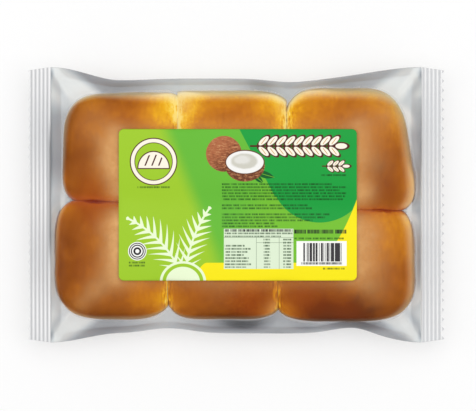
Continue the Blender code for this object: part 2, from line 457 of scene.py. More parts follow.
# Each bun: its centre, how far it reaches left, right, near and far of it, how square its
# corners are (far right, far left, near left, near right), its neighbours' directions, how
# much it widens to the right and left on its far side, its bake, its rim's width at the low
# and the high end of each outer side and how pale it is there (paler crust with a painted
# highlight), how dark the split at its left and right is, and places at (x, y, reach, amount)
# where it is browned more (partly painted shade), redder, or has a painted sheen
buns = {
    "bun_far_left": {
        "centre": (-77.0, 37.5),
        "reaches": (35.5, 43.1, 38.0, 35.4),
        "corners": (12.0, 3.4, 4.6, 7.0),
        "neighbours": ((1, 0), (0, -1)),
        "taper": -0.04,
        "bake": 0.70,
        "rims": {"left": (2.4, 5.6, 0.62), "far": (4.3, 9.2, 0.96)},
        "splits": (0.0, 0.0),
        "browningAndShade": ((-108, 30, 12, 0.04), (-90, 58, 14, -0.04), (-49, 60, 13, -0.40),
                    (-81, 42, 10, -0.10), (-96, 32, 10, 0.06), (-96, 68, 9, -0.18)),
        "redder": ((-92, 8, 11, 0.7), (-72, 52, 9, 0.2)),
        "gleams": ((-78, 24, 10, 0.80), (-80, 42, 9, 0.58), (-76, 8, 8, 0.55), (-84, 32, 7, 0.3),
                   (-92, 52, 12, 0.18)),
    },
    "bun_far_middle": {
        "centre": (-2.5, 37.0),
        "reaches": (41.4, 41.3, 40.0, 37.2),
        "corners": (3.8, 9.0, 7.0, 7.0),
        "neighbours": ((1, 0), (-1, 0), (0, -1)),
        "taper": 0.05,
        "bake": 0.50,
        "rims": {"far": (9.4, 8.6, 1.0)},
        "splits": (0.0, 0.8),
        "browningAndShade": ((17, 66, 9, -0.14), (-28, 66, 9, -0.20), (-28, 57, 7, -0.06)),
        "redder": ((2, 56, 14, 0.15),),
        "gleams": ((31, 63, 6, 0.35), (-36, 66, 8, 0.55)),
    },
    "bun_far_right": {
        "centre": (73.5, 36.0),
        "reaches": (46.9, 39.4, 42.0, 39.8),
        "corners": (3.75, 5.0, 7.0, 5.0),
        "neighbours": ((-1, 0), (0, -1)),
        "taper": -0.14,
        "bake": 0.58,
        "rims": {"right": (9.0, 10.5, 0.70), "far": (9.6, 11.5, 0.92)},
        "splits": (0.8, 0.0),
        "browningAndShade": ((48, 64, 13, -0.15), (96, 9, 11, 0.26), (74, 54, 10, 0.08), (102, 62, 12, -0.18),
                    (66, 70, 12, -0.12), (86, 70, 10, -0.10), (94, 28, 10, 0.16), (88, 24, 10, 0.14),
                    (90, 48, 12, 0.05)),
        "redder": ((96, 10, 8, 0.3), (80, 50, 10, 0.2)),
        "gleams": ((81, 48, 11, 0.45), (83, 28, 12, 0.48), (82, 8, 9, 0.6), (101, 60, 10, 0.30)),
    },
    "bun_near_left": {
        "centre": (-81.0, -35.6),
        "reaches": (36.8, 42.6, 38.8, 40.6),
        "corners": (7.0, 4.6, 3.12, 3.6),
        "neighbours": ((1, 0), (0, 1)),
        "taper": -0.03,
        "bake": 0.74,
        "rims": {"left": (2.4, 4.4, 0.52), "near": (3.6, 3.6, 0.70)},
        "splits": (0.0, 0.55),
        "browningAndShade": ((-110, -40, 15, 0.08), (-98, -14, 10, -0.02), (-84, -72, 14, 0.06),
                    (-48, -63, 12, -0.31), (-62, -54, 11, -0.20), (-90, -26, 9, -0.08),
                    (-111, -2, 7, -0.30), (-103, -69, 8, -0.12)),
        "redder": ((-92, -4, 10, 0.7), (-96, -40, 10, 0.15), (-48, -56, 9, 0.2)),
        "gleams": ((-77, -14, 10, 0.90), (-78, -29, 9, 0.62), (-79, -44, 11, 0.62), (-92, -56, 7, 0.4),
                   (-100, -64, 6, 0.25), (-44, -68, 4, 0.5)),
    },
    "bun_near_middle": {
        "centre": (-8.5, -37.0),
        "reaches": (38.8, 41.8, 37.4, 39.8),
        "corners": (7.0, 7.0, 4.5, 4.3),
        "neighbours": ((1, 0), (-1, 0), (0, 1)),
        "taper": 0.0,
        "bake": 0.72,
        "rims": {"near": (3.4, 3.4, 0.60)},
        "splits": (0.55, 0.9),
        "browningAndShade": ((4, -70, 15, 0.16), (-28, -60, 12, -0.06), (26, -70, 7, -0.25), (-40, -64, 7, -0.12)),
        "redder": ((8, -62, 16, 0.75), (-24, -52, 12, 0.3)),
        "gleams": ((-12, -50, 12, 0.15), (-44, -68, 4, 0.5), (26, -69, 6, 0.45)),
    },
    "bun_near_right": {
        "centre": (71.0, -38.0),
        "reaches": (48.0, 45.0, 37.9, 40.6),
        "corners": (4.2, 7.0, 4.4, 3.4),
        "neighbours": ((-1, 0), (0, 1)),
        "taper": -0.03,
        "bake": 0.70,
        "rims": {"right": (8.0, 10.0, 0.68), "near": (3.2, 3.2, 0.45)},
        "splits": (0.9, 0.0),
        "browningAndShade": ((56, -72, 16, 0.34), (103, -22, 15, -0.18), (80, -74, 16, 0.30), (108, -56, 9, -0.04),
                    (90, -6, 10, -0.20), (90, -34, 12, -0.08), (106, -8, 8, -0.20), (34, -70, 6, -0.25)),
        "redder": ((44, -60, 14, 0.7), (70, -68, 14, 0.5)),
        "gleams": ((82, -18, 12, 0.6), (82, -40, 13, 0.6), (90, -56, 9, 0.2)),
    },
}

# What the whole batch shares
bakeLook = {
    # how much the rims' paleness, paler crust with a painted highlight, lowers the bake
    "edgePaleAndLit": 0.28,
    "farSeam": ((0.24, 2.6), (0.26, 9.0)),  # how much paler a column seam is, and its reach
    "nearSeam": ((0.16, 1.9), (0.15, 6.0)),
    "foldWidth": (3.6, 2.2),  # of the red fold between the rows, partly painted shade, at the left and the right
    "foldEnds": (-100.0, 100.0),
    "creases": (0.14, ((-92.0, 9.0, 0.80), (95.0, 10.0, 0.66))),
    "creaseWidth": 1.5,  # half of it, in millimetres, where a crease is strongest
    "creaseEase": 0.9,
    "patches": ((24.0, 0.05, 21), (10.0, 0.06, 22)),  # size, strength and random draw
    "mottle": 0.30,
    "speckle": 0.20,
    "streak": 0.14,
    "torn": (1.15, 1.4, 5.0),  # how streaky it is beside a column seam, and where that fades
    "wrinkled": (1.3, 0.6, 2.6),  # how speckled it is beside a crease, and where that fades
    "split": (0.08, 0.48),  # where the crumb between two buns starts to fade and where it ends
    "splitShare": 0.85,
    "besideLabel": (0.20, 6.0),  # how much painted sheen it has beside the label, and how far
    "paleInFold": 0.2,  # the share of a rim's paleness that is left in the fold
    "foldShare": 0.5,
    "redShare": 0.6,
    "evens": {"red": 0.75, "gleam": 0.8, "edge": 0.9},  # how full a tint is, apart from the mottle
    "roughness": (0.5, 0.3),  # at the mottle's middle, and how much it follows it
    "specular": 0.05,
    "noises": {  # size in millimetres, detail and roughness
        "mottle": (9.0, 4.0, 0.6),
        "speckle": (1.5, 2.0, 0.6),
        "streak": (1.4, 2.0, 0.5),
        "wobble": (2.4, 3.0, 0.5),
        "grain": (0.9, 3.0, 0.6),
    },
    "streakScale": (1.0, 0.16, 0.5),  # the streaks run along y
    "bump": (0.16, 0.6),  # strength, and height in millimetres
    "browning": (  # its colour from the palest bake to the darkest
        (0.00, colour(255, 226, 124)),
        (0.12, colour(250, 206, 68)),
        (0.22, colour(242, 180, 30)),
        (0.34, colour(220, 146, 28)),
        (0.48, colour(198, 119, 26)),
        (0.64, colour(172, 96, 24)),
        (0.80, colour(146, 76, 18)),
        (1.00, colour(100, 46, 12)),
    ),
    "red": colour(176, 74, 22),
    # the colour of the painted sheen
    "gleam": colour(234, 182, 120),
    # the rims' colour: paler crust with a painted highlight
    "cream": colour(252, 236, 194),
    # the fold's colour: redder crust with painted shade
    "foldRedShade": colour(196, 86, 26),
    "crumb": (colour(255, 236, 158), colour(150, 88, 24)),  # in a split, where it is pale and dark
    # the crease's colour: painted shade over a redder crust
    "creaseRedShade": colour(130, 36, 2),
}


def bunPoints(bun):
    # a superellipse plan, with its own reach on each side and its own squareness in each quarter,
    # times a superellipse profile: radius R(turn) sin(p) rho and height H cos(p) rho, where
    # rho = (|sin p|^n + |cos p|^n)^(-1/n)
    around, down = crust["steps"]
    turn = np.linspace(0.0, 2 * np.pi, around, endpoint=False)[None, :]
    dip = np.linspace(0.0, np.pi, down + 2)[1:-1, None]
    left, right, near, far = bun["reaches"]
    cos, sin = np.cos(turn), np.sin(turn)
    reachX = np.where(cos > 0, right, left)
    reachY = np.where(sin > 0, far, near)
    square = squareness(bun, cos, sin)
    plan = (np.abs(cos / reachX) ** square + np.abs(sin / reachY) ** square) ** (-1.0 / square)
    bulge = crust["outerBulge"]
    for nx, ny in bun["neighbours"]:
        towards = crust["columnBulge"] if nx else crust["rowBulge"]
        bulge = bulge + (towards - crust["outerBulge"]) * np.maximum(0.0, cos * nx + sin * ny) ** 2
    bulge = np.where(dip < np.pi / 2, bulge, crust["baseBulge"])
    rho = (np.abs(np.sin(dip)) ** bulge + np.abs(np.cos(dip)) ** bulge) ** (-1.0 / bulge)
    radius = plan * np.sin(dip) * rho
    crown = float(crownHeight(*bun["centre"])) - crust["filmGap"]
    height = np.where(dip < np.pi / 2, crown - crust["widestAt"], crust["widestAt"] - crust["baseAt"])
    x = bun["centre"][0] + radius * cos * (1.0 + bun["taper"] * radius * sin / far)
    y = bun["centre"][1] + radius * sin
    z = crust["widestAt"] + height * np.cos(dip) * rho
    poles = np.array([[*bun["centre"], crown], [*bun["centre"], crust["baseAt"]]])
    return np.vstack([listed(x, y, z), poles])


def squareness(bun, dx, dy):
    # the exponent of the quarter that a direction lies in
    farRight, farLeft, nearLeft, nearRight = bun["corners"]
    return np.where(dy > 0, np.where(dx > 0, farRight, farLeft), np.where(dx > 0, nearRight, nearLeft))


def seamsOf(bun):
    # the x of both column seams in the bun's own row
    isFar = bun["centre"][1] > 0
    return [farX if isFar else nearX for nearX, farX in drape["columnSeams"]]


def strayed(along, seam):
    # how far a column or a row seam strays sideways at a place along it
    reach, length = crust["seamWander"]
    return reach * lumps(along, 0.0, 0.0, length, crust["seamDraws"][seam])


def pressed(points, bun):
    # lumps pushed out from the bun's middle, then its neighbours pressing it flat at the
    # seams, and both films pressing on it
    x, y, z = points.T
    middle = np.array([*bun["centre"], crust["widestAt"]])
    out = (points - middle) / np.array(crust["lumpSpan"])
    out = out / np.linalg.norm(out, axis=1, keepdims=True)
    for size, height, seed in crust["lumps"]:
        points = points + out * (height * lumps(x, y, z, size, seed))[:, None]
    x, y, z = points.T
    for nx, ny in bun["neighbours"]:
        if nx:
            aim = bun["centre"][0] + nx * crust["halfWidth"]
            seamX = min(seamsOf(bun), key=lambda seam: abs(seam - aim))
            seamX = seamX + strayed(y, "column")
            x = nx * softMin(nx * x, nx * seamX + crust["seamLap"], crust["seamEase"])
        else:
            seamY = rowSeamAt(x) + strayed(x, "row")
            y = ny * softMin(ny * y, ny * seamY + crust["seamLap"], crust["seamEase"])
    z = softMin(z, topHeight(x, y) - crust["filmGap"], crust["press"])
    z = -softMin(-z, -(bottomHeight(x, y) + crust["filmGap"]), crust["basePress"])
    return np.column_stack([x, y, z])


def rimPaleAndLit(x, y, bun):
    # how pale the outer rims are, paler crust with a painted highlight: the distance in from the
    # superellipse along x or y, eased from 1 at the outline to 0 at the rim's width there, and
    # the most of the outer sides
    left, right, near, far = bun["reaches"]
    dy = y - bun["centre"][1]
    dx = (x - bun["centre"][0]) / (1.0 + bun["taper"] * dy / far)
    reachX, reachY = np.where(dx > 0, right, left), np.where(dy > 0, far, near)
    square = squareness(bun, dx, dy)

    def inward(d, reach, other, otherReach):
        share = np.clip(np.abs(other) / otherReach, 0.0, 1.0)
        return reach * (1.0 - share**square) ** (1.0 / square) - np.abs(d)

    insideX, insideY = inward(dx, reachX, dy, reachY), inward(dy, reachY, dx, reachX)
    alongX, alongY = dx / (left + right), dy / (near + far)
    sides = {
        "left": (dx < 0, insideX, alongY),
        "right": (dx > 0, insideX, alongY),
        "near": (dy < 0, insideY, alongX),
        "far": (dy > 0, insideY, alongX),
    }
    pale = np.zeros(np.shape(x))
    for side, (low, high, amount) in bun["rims"].items():
        there, inside, along = sides[side]
        width = low + (high - low) * smoothStep(along + 0.5)
        pale = np.maximum(pale, amount * there * (1.0 - smoothStep(inside / width)))
    return pale


def bakeValues(points, bun):
    # bake: how brown each point is, the bun's own bake and its places (partly painted shade) less
    # its pale rims and seams; edge: how creamy its rim is, paler crust with a painted highlight;
    # toSeam and toRow: millimetres from the nearest seams; dark: how dark its splits are; fold:
    # how red it is between the rows, partly painted shade; crease: how strong the painted shade
    # of the line there is; red and gleam: its redder places and its painted sheen
    x, y, z = points.T
    centreX, centreY = bun["centre"]
    # the bake with its browned places, partly painted shade, darker towards the near sides
    bake = bun["bake"] + roundSpots(x, y, bun["browningAndShade"])
    for size, strength, seed in bakeLook["patches"]:
        bake = bake + strength * lumps(x, y, z, size, seed)
    toSeam = np.min([np.abs(x - seamX - strayed(y, "column")) for seamX in seamsOf(bun)], axis=0)
    for amount, reach in bakeLook["farSeam" if centreY > 0 else "nearSeam"]:
        bake = bake - amount * bell(toSeam, reach)
    toRow = np.abs(y - rowSeamAt(x) - strayed(x, "row"))
    fold = bell(toRow, np.interp(x, bakeLook["foldEnds"], bakeLook["foldWidth"]))
    edge = rimPaleAndLit(x, y, bun) * (1.0 - (1.0 - bakeLook["paleInFold"]) * fold)
    gleam, reach = bakeLook["besideLabel"]
    beside = gleam * bell(np.minimum(np.minimum(*insideLabel(x, y)), 0.0), reach)
    leftDark, rightDark = bun["splits"]
    least, creases = bakeLook["creases"]
    return {
        "bake": bake - bakeLook["edgePaleAndLit"] * edge,
        "edge": edge,
        "toSeam": toSeam,
        "toRow": toRow,
        "dark": np.where(x < centreX, leftDark, rightDark),
        "fold": fold,
        "crease": least + spots(x, creases),
        "red": roundSpots(x, y, bun["redder"]),
        "gleam": roundSpots(x, y, bun["gleams"]) + beside,
    }


def crustFinish():
    # a ramp from pale to brown by the bake with its mottle, speckles and streaks; over it in turn
    # the redder places, the painted sheen of the gleams, the creamy rims with their painted
    # highlight, the red fold with its painted shade, the crumb in the splits and the painted
    # shade of the crease between the rows
    wiring = Finish("baked crust")
    place, stored = wiring.place(), wiring.stored
    noises, evens = bakeLook["noises"], bakeLook["evens"]
    drawn = wiring.node("ShaderNodeMapping", None, {"Vector": place, "Scale": bakeLook["streakScale"]})
    mottle = wiring.noise(place, *noises["mottle"]) - 0.5
    speckle = wiring.noise(place, *noises["speckle"]) - 0.5
    streak = wiring.noise(drawn, *noises["streak"]) - 0.5
    wobble = wiring.noise(place, *noises["wobble"]) - 0.5
    amount, start, end = bakeLook["torn"]
    torn = (1.0 - stored("toSeam").eased(start, end)) * amount
    amount, start, end = bakeLook["wrinkled"]
    wrinkled = (1.0 - stored("toRow").eased(start, end)) * stored("crease") * amount
    bake = stored("bake") + mottle * bakeLook["mottle"]
    bake = bake + speckle * (wrinkled + bakeLook["speckle"]) + streak * (torn + bakeLook["streak"])
    shown = wiring.ramp(bake, bakeLook["browning"])
    red = (stored("red") * (mottle + evens["red"])).clamped() * bakeLook["redShare"]
    shown = wiring.mixed(red, shown, bakeLook["red"])
    # a painted sheen of the film over the crust
    gleam = (stored("gleam") * (mottle + evens["gleam"])).clamped()
    shown = wiring.mixed(gleam, shown, bakeLook["gleam"])
    # the creamy rim: paler crust with a painted highlight
    rim = (stored("edge") * stored("edge") * (mottle + evens["edge"])).clamped()
    shown = wiring.mixed(rim, shown, bakeLook["cream"])
    # the red fold between the rows, partly painted shade
    shown = wiring.mixed(stored("fold") * bakeLook["foldShare"], shown, bakeLook["foldRedShade"])
    split = (1.0 - (stored("toSeam") + wobble).eased(*bakeLook["split"])) * bakeLook["splitShare"]
    shown = wiring.mixed(split, shown, wiring.mixed(stored("dark"), *bakeLook["crumb"]))
    # the crease between the rows, painted dark as shade
    depth = stored("crease") * bakeLook["creaseWidth"] - stored("toRow") - wobble
    crease = (depth / bakeLook["creaseEase"] + 0.5).clamped() * stored("crease")
    shown = wiring.mixed(crease, shown, bakeLook["creaseRedShade"])
    bump = wiring.bump(*bakeLook["bump"], wiring.noise(place, *noises["grain"]))
    middle, swing = bakeLook["roughness"]
    roughness = mottle * swing + middle
    return wiring.finished(wiring.coat(shown, roughness, bakeLook["specular"], {"Normal": bump}))


def outlineOf(points, bun):
    # seen from above, how far the bun's points reach from its centre in each direction: the
    # farthest of each direction and its two neighbours, then the mean of three
    dx, dy = points[:, 0] - bun["centre"][0], points[:, 1] - bun["centre"][1]
    count = crust["steps"][0]
    turn = (np.round(np.arctan2(dy, dx) / (2 * np.pi) * count) % count).astype(int)
    reach = np.zeros(count)
    np.maximum.at(reach, turn, np.hypot(dx, dy))
    reach = np.max([np.roll(reach, shift) for shift in (-1, 0, 1)], axis=0)
    return bun["centre"], np.mean([np.roll(reach, shift) for shift in (-1, 0, 1)], axis=0)


def makeBuns():
    # returns the outlines of the buns
    finish = crustFinish()
    outlines = []
    around, down = crust["steps"]
    body = gridFaces(down, around, closed=True)
    ring = np.arange(around)
    after = (ring + 1) % around
    crownFan = np.column_stack([ring, after, np.full(around, down * around)])
    last = (down - 1) * around
    baseFan = np.column_stack([last + after, last + ring, np.full(around, down * around + 1)])
    faces = [*body.tolist(), *crownFan.tolist(), *baseFan.tolist()]
    for name, bun in buns.items():
        points = pressed(bunPoints(bun), bun)
        makePiece(name, points, faces, finish, bakeValues(points, bun))
        outlines.append(outlineOf(points, bun))
    print("buns:", len(buns))
    return outlines


# The film

film = {
    "steps": (268, 160),  # along and across
    "crowding": (0.55, 0.75),
    "foldHeight": 1.1,  # the ridge that runs from each corner to a bun
    "foldWidth": 3.2,
    "packCorner": (sealLine, 88.0),
    "bunCorner": (104.0, 66.0),
    "pleats": (0.12, 5.0, 31),  # height, size and random draw
    "pleatStretch": 4.0,  # how much longer they are along the pack
    "pleatReach": 14.0,
    "cover": (0.0, 0.52, 0.72),  # how milky it is over the buns, beside them, and at its rim
    "from": (-0.8, 1.5),  # where it turns milky round the buns' outlines, and over what length
    "rimFrom": 9.0,  # how far outside them it is as milky as at its rim
    "sheen": (-1.0, 0.9, 0.0, 0.10),  # along their outlines: its place, width, near and far cover
    "sheenEase": 40.0,
    "lip": (0.5, 0.8),  # where it turns down beside the buns: its place and width
    "shadeCover": 0.5,  # how much of the shade beside the buns is cover too
    "through": 0.2,  # the share of the palest film's light that comes through it
    "gloss": 0.3,  # the share of its gloss that it keeps over the buns
    "glossCover": 0.5,  # how milky it has all of its gloss
    "glossTones": (0.1, 0.62),  # the tones where that starts and is full
    "glossRoughness": 0.26,
    "glossIndex": 1.28,
    "milk": (0.30, 0.2),  # roughness and specular of its milky part
    "below": (0.15, 0.42),  # how milky the lower film is, under the buns and outside them
    "belowFrom": (-4.0, 2.0),  # where it turns milky, and over what length
    "belowLift": 0.10,
    "greys": (  # its colour, painted reflection and shade, from the darkest tone to the palest
        (0.0, colour(0, 1, 4)),
        (0.30, colour(60, 66, 74)),
        (0.60, colour(146, 154, 163)),
        (0.80, colour(200, 210, 217)),
        (1.0, colour(250, 255, 255)),
    ),
    "throughTint": colour(234, 242, 248),
    "ripple": (14.0, 2.0),  # size in millimetres and detail
    "bump": (0.10, 3.0),  # strength, and height in millimetres
}

# The grey that the film takes outside the buns, from 0 to 1: painted reflection and shade,
# with painted shadow beside the buns and the seals and painted highlights at the corners, the
# rims and the glints. Of a pair the first is near or left, and the second far or right; a tone
# is a base with spots at (place, reach, amount)
filmTones = {
    "sides": (
        (0.69, ((-86.0, 14.0, -0.10), (-46.0, 15.0, 0.13), (55.0, 16.0, 0.06))),
        (0.72, ((-84.0, 26.0, -0.16), (15.0, 10.0, -0.09), (78.0, 22.0, -0.11), (-28.0, 22.0, 0.07))),
    ),
    "nearLine": (-0.03, ((-52.0, 11.0, 0.10), (104.0, 8.0, 0.20))),  # painted shade and highlight along the lip
    "sideShades": (
        (0.0, ((-81.0, 14.0, 0.04), (4.0, 17.0, 0.54), (44.0, 9.0, 0.14), (80.0, 19.0, 0.30))),
        (0.0, ((-72.0, 19.0, 0.09), (17.0, 10.0, 0.10), (67.0, 14.0, 0.12))),
    ),
    "shadeFrom": (2.5, 4.0),  # how far outside the buns those shades are full, and their reach
    "ends": (
        (0.69, ((4.0, 15.0, 0.24), (-52.0, 18.0, 0.28), (-24.0, 14.0, 0.16), (26.0, 9.0, -0.04))),
        (0.68, ((0.0, 15.0, 0.14), (-22.0, 16.0, 0.08), (-57.0, 16.0, 0.12), (57.0, 9.0, 0.10))),
    ),
    "endLine": (0.0, 0.14),  # painted highlight along the lip
    "glints": (  # painted glints close beside the buns at the ends
        (0.0, ((-8.0, 8.0, 0.30), (-36.0, 18.0, 0.18))),
        (0.0, ((57.0, 9.0, 0.28), (36.0, 9.0, 0.12), (-7.0, 8.0, 0.24), (-63.0, 8.0, 0.42))),
    ),
    "glintFrom": (2.5, 3.0),
    "endFrom": (98.0, 74.0, 12.0),  # the x and y past which the ends' tone is mixed in, and its length
    # the corners' painted highlight, left and right
    "corner": (1.0, 0.94),
    "cornerFrom": (97.0, 79.5),
    "cornerShift": (0.0, 2.5),  # how much nearer to the middle the far ones start
    "cornerSlope": (0.6, 0.8),
    "cornerEase": (3.0, 7.0),
    "cornerRise": (56.0, 16.0),  # the y where a corner's tone starts, and its length
    "besideSeal": (0.03, 0.12),
    "sealReach": 7.0,
    "shadeFar": (72.0, 4.0),  # the y where the shade beside a seal starts sharply, and its length
    "shadeNear": (-74.0, 40.0),  # the y where it has faded, and over what length
    "rimGleam": (0.0, 0.45),
    "gleamFrom": (30.0, 12.0, 0.6),  # the y below which the rim gleams, its length and its reach
    "crease": (0.28, 1.5, 85.0, 3.2),  # the painted shade of a corner's crease: amount, half width, and its place and reach along the seal
    "creaseInset": 0.8,
    "facet": ((2.0, 2.6, 0.10), (-3.6, 3.0, -0.14)),  # painted highlight and shade beside a corner's fold
}


def cornerFold(x, y):
    # along the line from the pack's corner to the bun's: how far across it a point lies, and a
    # half sine along it
    cornerX, cornerY = film["packCorner"]
    bunX, bunY = film["bunCorner"]
    runX, runY = bunX - cornerX, bunY - cornerY
    length = np.hypot(runX, runY)
    along = ((np.abs(x) - cornerX) * runX + (np.abs(y) - cornerY) * runY) / length**2
    across = ((np.abs(x) - cornerX) * runY - (np.abs(y) - cornerY) * runX) / length
    return across, np.sin(np.pi * np.clip(along, 0.0, 1.0))


def outsideBuns(x, y, outlines):
    # how far outside the nearest bun's outline a point is
    distances = []
    for (centreX, centreY), reach in outlines:
        dx, dy = x - centreX, y - centreY
        turns = 2 * np.pi * np.arange(len(reach)) / len(reach)
        edge = np.interp(np.arctan2(dy, dx), turns, reach, period=2 * np.pi)
        distances.append(np.hypot(dx, dy) - edge)
    return np.min(distances, axis=0)


def spotted(tone, along):
    # a base plus a bell at each spot
    base, places = tone
    return base + spots(along, places)


def either(kind, side, along=None):
    # the first of a pair where side is below 0, and the second elsewhere
    first, second = filmTones[kind]
    if along is not None:
        first, second = spotted(first, along), spotted(second, along)
    return np.where(side < 0, first, second)


def sideShade(x, y, outside):
    # the shade beside the buns on the far or near side: its strength along x, full up to a
    # distance outside them, then a bell
    at, reach = filmTones["shadeFrom"]
    return either("sideShades", y, x) * bell(np.maximum(outside - at, 0.0), reach)


def filmTone(x, y, outside, line):
    # painted reflection and shade: the nearer side's tone less its painted shade, and the nearer
    # end's with its painted glints, each with its line along the lip, mixed by where a point is;
    # then the corners' painted highlight, less the painted shade beside the seals, with a painted
    # gleam at the seals, each corner's crease painted darker and its facets painted light and dark
    inEnd = sealLine - np.abs(x)
    lip = np.where(y > 0, 0.0, spotted(filmTones["nearLine"], x)) * line
    sideTone = either("sides", y, x) + lip - sideShade(x, y, outside)
    at, reach = filmTones["glintFrom"]
    glint = either("glints", x, y) * bell(outside - at, reach)
    endTone = either("ends", x, y) + either("endLine", x) * line + glint
    endX, endY, length = filmTones["endFrom"]
    toEnd = smoothStep((np.abs(x) - endX) / length) * smoothStep((endY - np.abs(y)) / length)
    tone = sideTone + (endTone - sideTone) * toEnd
    cornerX, cornerY = filmTones["cornerFrom"]
    cornerX = cornerX - either("cornerShift", x) * np.sign(y)
    slopeX, slopeY = filmTones["cornerSlope"]
    diagonal = (np.abs(x) - cornerX) * slopeX - (np.abs(y) - cornerY) * slopeY
    start, length = filmTones["cornerEase"]
    toCorner = smoothStep((diagonal + start) / length)
    start, length = filmTones["cornerRise"]
    toCorner = toCorner * smoothStep((np.abs(y) - start) / length)
    tone = tone + (either("corner", x) - tone) * toCorner
    start, length = filmTones["shadeFar"]
    faded, fading = filmTones["shadeNear"]
    window = smoothStep((start - y) / length) * smoothStep((y - faded) / fading)
    tone = tone - either("besideSeal", x) * bell(inEnd, filmTones["sealReach"]) * window
    start, length, reach = filmTones["gleamFrom"]
    tone = tone + either("rimGleam", x) * bell(inEnd, reach) * smoothStep((start - y) / length)
    amount, width, at, reach = filmTones["crease"]
    tone = tone - amount * bell(inEnd - filmTones["creaseInset"], width) * bell(np.abs(y) - at, reach)
    across, window = cornerFold(x, y)
    return tone + window * spots(across, filmTones["facet"])


def filmFinish():
    # clear film mixed by its cover with a milky one, whose grey is the painted reflection and shade
    # of its tone and which lets some light through where it is pale, under a gloss that fades over
    # the buns and in the dark tones
    wiring = Finish("clear film")
    cover, tone = wiring.stored("cover"), wiring.stored("tone")
    bump = wiring.bump(*film["bump"], wiring.noise(wiring.place(), *film["ripple"]))
    clear = wiring.node("ShaderNodeBsdfTransparent")
    milky = wiring.coat(wiring.ramp(tone, film["greys"]), *film["milk"])
    through = wiring.node("ShaderNodeBsdfTranslucent", None, {"Color": film["throughTint"]})
    milky = wiring.layered(tone * tone * film["through"], milky, through)
    gloss = wiring.node("ShaderNodeBsdfGlossy", None, {"Roughness": film["glossRoughness"], "Normal": bump})
    glance = wiring.node("ShaderNodeFresnel", None, {"IOR": film["glossIndex"], "Normal": bump})
    kept = film["gloss"] + (1.0 - film["gloss"]) * cover.eased(0.0, film["glossCover"])
    glance = glance * kept * tone.eased(*film["glossTones"])
    return wiring.finished(wiring.layered(glance, wiring.layered(cover, clear, milky), gloss))


def filmCover(y, outside, shade):
    # how milky the upper film is: from none over the buns to some beside them and more at its
    # rim, with a sheen along the buns' outlines and a part of the shade
    start, length = film["from"]
    free = smoothStep((outside - start) / length)
    over, beside, atRim = film["cover"]
    at, width, nearSheen, farSheen = film["sheen"]
    sheen = nearSheen + (farSheen - nearSheen) * smoothStep(y / film["sheenEase"] + 0.5)
    cover = over + (beside - over) * free + (atRim - beside) * smoothStep(outside / film["rimFrom"])
    return cover + sheen * bell(outside - at, width) + film["shadeCover"] * shade * free


def makeFilm(finish, outlines):
    # two sheets over one grid of stations that share their edge all round: the upper film at
    # topHeight with the corner folds and small pleats, the lower one at bottomHeight
    along, across = film["steps"]
    x = (-sealLine + 2 * sealLine * crowded(along, film["crowding"][0]))[:, None] * np.ones((1, across))
    near, far = -halfWidth(x, nearSide), halfWidth(x, farSide)
    y = near + (far - near) * crowded(across, film["crowding"][1])[None, :]
    height, size, draw = film["pleats"]
    pleats = height * lumps(x / film["pleatStretch"], y, 0.0, size, draw)
    aside, window = cornerFold(x, y)
    fold = film["foldHeight"] * window * bell(aside, film["foldWidth"])
    rim = np.ones((along, across), bool)
    rim[1:-1, 1:-1] = False
    inner = ~rim
    upper = topHeight(x, y) + fold + pleats * bell(sealLine - np.abs(x), film["pleatReach"])
    upper = np.where(rim, sealHeight(x, y), upper)
    points = np.vstack([listed(x, y, upper), np.stack([x, y, bottomHeight(x, y)], -1)[inner]])
    numbers = np.arange(along * across).reshape(along, across)
    under = numbers.copy()
    under[inner] = along * across + np.arange(inner.sum())
    quads = gridFaces(along, across)
    faces = [*quads.tolist(), *under.ravel()[quads[:, ::-1]].tolist()]
    outside = outsideBuns(x, y, outlines)
    at, width = film["lip"]
    tone = filmTone(x, y, outside, bell(outside - at, width))
    cover = filmCover(y, outside, sideShade(x, y, outside))
    start, length = film["belowFrom"]
    clearest, milkiest = film["below"]
    underCover = clearest + (milkiest - clearest) * smoothStep((outside - start) / length)
    piece = makePiece("film", points, faces, finish, {
        "tone": np.concatenate([tone.ravel(), tone[inner] + film["belowLift"]]),
        "cover": np.concatenate([cover.ravel(), underCover[inner]]),
    })
    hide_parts("bag")
    print("film:", len(faces), "faces")


# The end seals and the back seal

seals = {
    "steps": (66, 349),
    "overlap": 1.2,  # how far a seal runs in under the film
    "thickness": 0.42,
    "toothPitch": 6.2,
    "toothDepths": {-1: 1.2, 1: 2.4},  # of the left and the right cut edge
    "barAt": {-1: 2.2, 1: 1.1},  # the first grey bar's distance out from the seal's inner edge
    "barWidth": {-1: (0.02, 0.42), 1: (0.16, 0.46)},  # from its core to its fade, in pitches
    # the painted shade of the crimp's valleys
    "bars": {-1: colour(203, 204, 206), 1: colour(216, 217, 219)},
    "between": {-1: colour(238, 239, 240), 1: colour(248, 249, 250)},  # between two bars, where its painted sheen is dullest
    "white": colour(255, 255, 255),
    "innerShade": {-1: 0.62, 1: 0.0},  # of its inner edge, between the corners
    "innerGrey": colour(96, 98, 104),
    "innerEnds": (0.8, 2.0),  # how far out that starts to fade and ends
    "innerMiddle": 8.0,
    "innerFades": (27.0, 52.0),  # how far to both sides of its middle it starts to fade and ends
    "opacity": 0.9,
    "milk": (0.32, 0.4),  # roughness and specular
    "gleamLength": 78.0,
    "backSteps": (160, 28),
    "backInset": 9.0,
    "backHalfWidth": 5.5,
    "backHeights": (0.45, 0.95),
    "backPower": 6,
    "backRipple": (0.5, 31.0),
    "backLook": {"tone": 0.8, "cover": 0.5},
}


